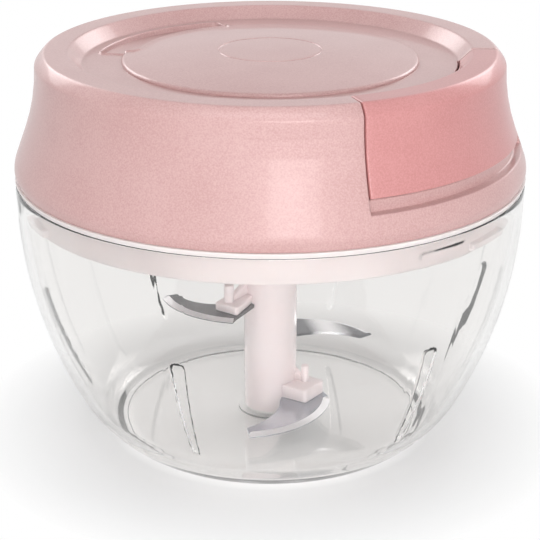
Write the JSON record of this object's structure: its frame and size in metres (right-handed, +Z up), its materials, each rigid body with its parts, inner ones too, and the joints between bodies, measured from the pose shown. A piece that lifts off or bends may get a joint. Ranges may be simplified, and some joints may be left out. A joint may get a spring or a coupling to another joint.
{
  "type": "pull-string food chopper",
  "caption": "Hand-held food chopper: a clear bowl with blades on a spinning column, closed by a lid whose rim holds a pull handle on a sprung cord.",
  "frame": {"origin": "centre of the bowl's foot, on the surface that it stands on", "axes": "+Z up along the axis of the bowl, blades and lid; +X to the viewer's right in the picture and +Y away from the viewer"},
  "size_m": [0.1302, 0.1302, 0.1017],
  "materials": {
    "lid_plastic": "pearl gloss",
    "handle_plastic": "pearl gloss",
    "clear_plastic": "clear",
    "column_plastic": "translucent satin",
    "inner_plastic": "satin",
    "blade_steel": "polished",
    "steel": "satin",
    "brass": "satin",
    "seal_rubber": "matte",
    "cord": "woven"
  },
  "bodies": {
    "bowl": {"bowl": "clear_plastic", "pivot_pin": "steel"},
    "seal": {"seal_ring": "seal_rubber"},
    "lid": {"top_cover": "lid_plastic", "inner_lid": "column_plastic", "lid_screws": "steel", "cord_eyelet": "brass", "bearing_bush": "inner_plastic", "spindle_washer": "steel", "spindle_screw": "steel", "cord_run": "cord"},
    "handle": {"handle_shell": "handle_plastic", "handle_back_plate": "handle_plastic", "handle_screws": "steel", "cord_knot": "cord"},
    "spool": {"spool": "inner_plastic", "spring_cover": "inner_plastic", "spiral_spring": "steel", "cord_winding": "cord", "drive_coupler": "inner_plastic", "drive_pin": "steel", "hub_pin": "steel"},
    "pivot": {"thrust_washer": "inner_plastic", "pivot_bush": "inner_plastic"},
    "blades": {"blade_column": "column_plastic", "lower_blade": "blade_steel", "middle_blade": "blade_steel", "upper_blade": "blade_steel"}
  },
  "joints": [
    {"name": "lid_lift", "type": "slide", "parent": "bowl", "child": "seal", "axis": [0, 0, 1], "range_m": [0, 0.16]},
    {"name": "lid_twist", "type": "hinge", "parent": "seal", "child": "lid", "pos_m": [0, 0, 0.07], "axis": [0, 0, -1], "range_deg": [0, 16]},
    {"name": "handle_pull", "type": "slide", "parent": "lid", "child": "handle", "axis": [0.8116, -0.5842, 0], "range_m": [0, 0.42], "stiffness_N_per_m": 12, "springref_m": -0.25, "deforming": ["cord_run"]},
    {"name": "spool_spin", "type": "hinge", "parent": "lid", "child": "spool", "pos_m": [0, 0, 0.08], "axis": [0, 0, 1], "range_deg": [0, 1150], "deforming": ["spiral_spring"]},
    {"name": "blade_lift", "type": "slide", "parent": "bowl", "child": "pivot", "axis": [0, 0, 1], "range_m": [0, 0.08]},
    {"name": "blade_spin", "type": "hinge", "parent": "pivot", "child": "blades", "pos_m": [0, 0, 0.02], "axis": [0, 0, 1], "range_deg": [0, 1150]}
  ],
  "couplings": [
    {"joint": "spool_spin", "follows": "handle_pull", "rad_per_m": 47.619},
    {"joint": "blade_spin", "follows": "handle_pull", "rad_per_m": 47.619},
    {"joint": "blade_lift", "follows": "lid_lift", "ratio": 0.5}
  ]
}
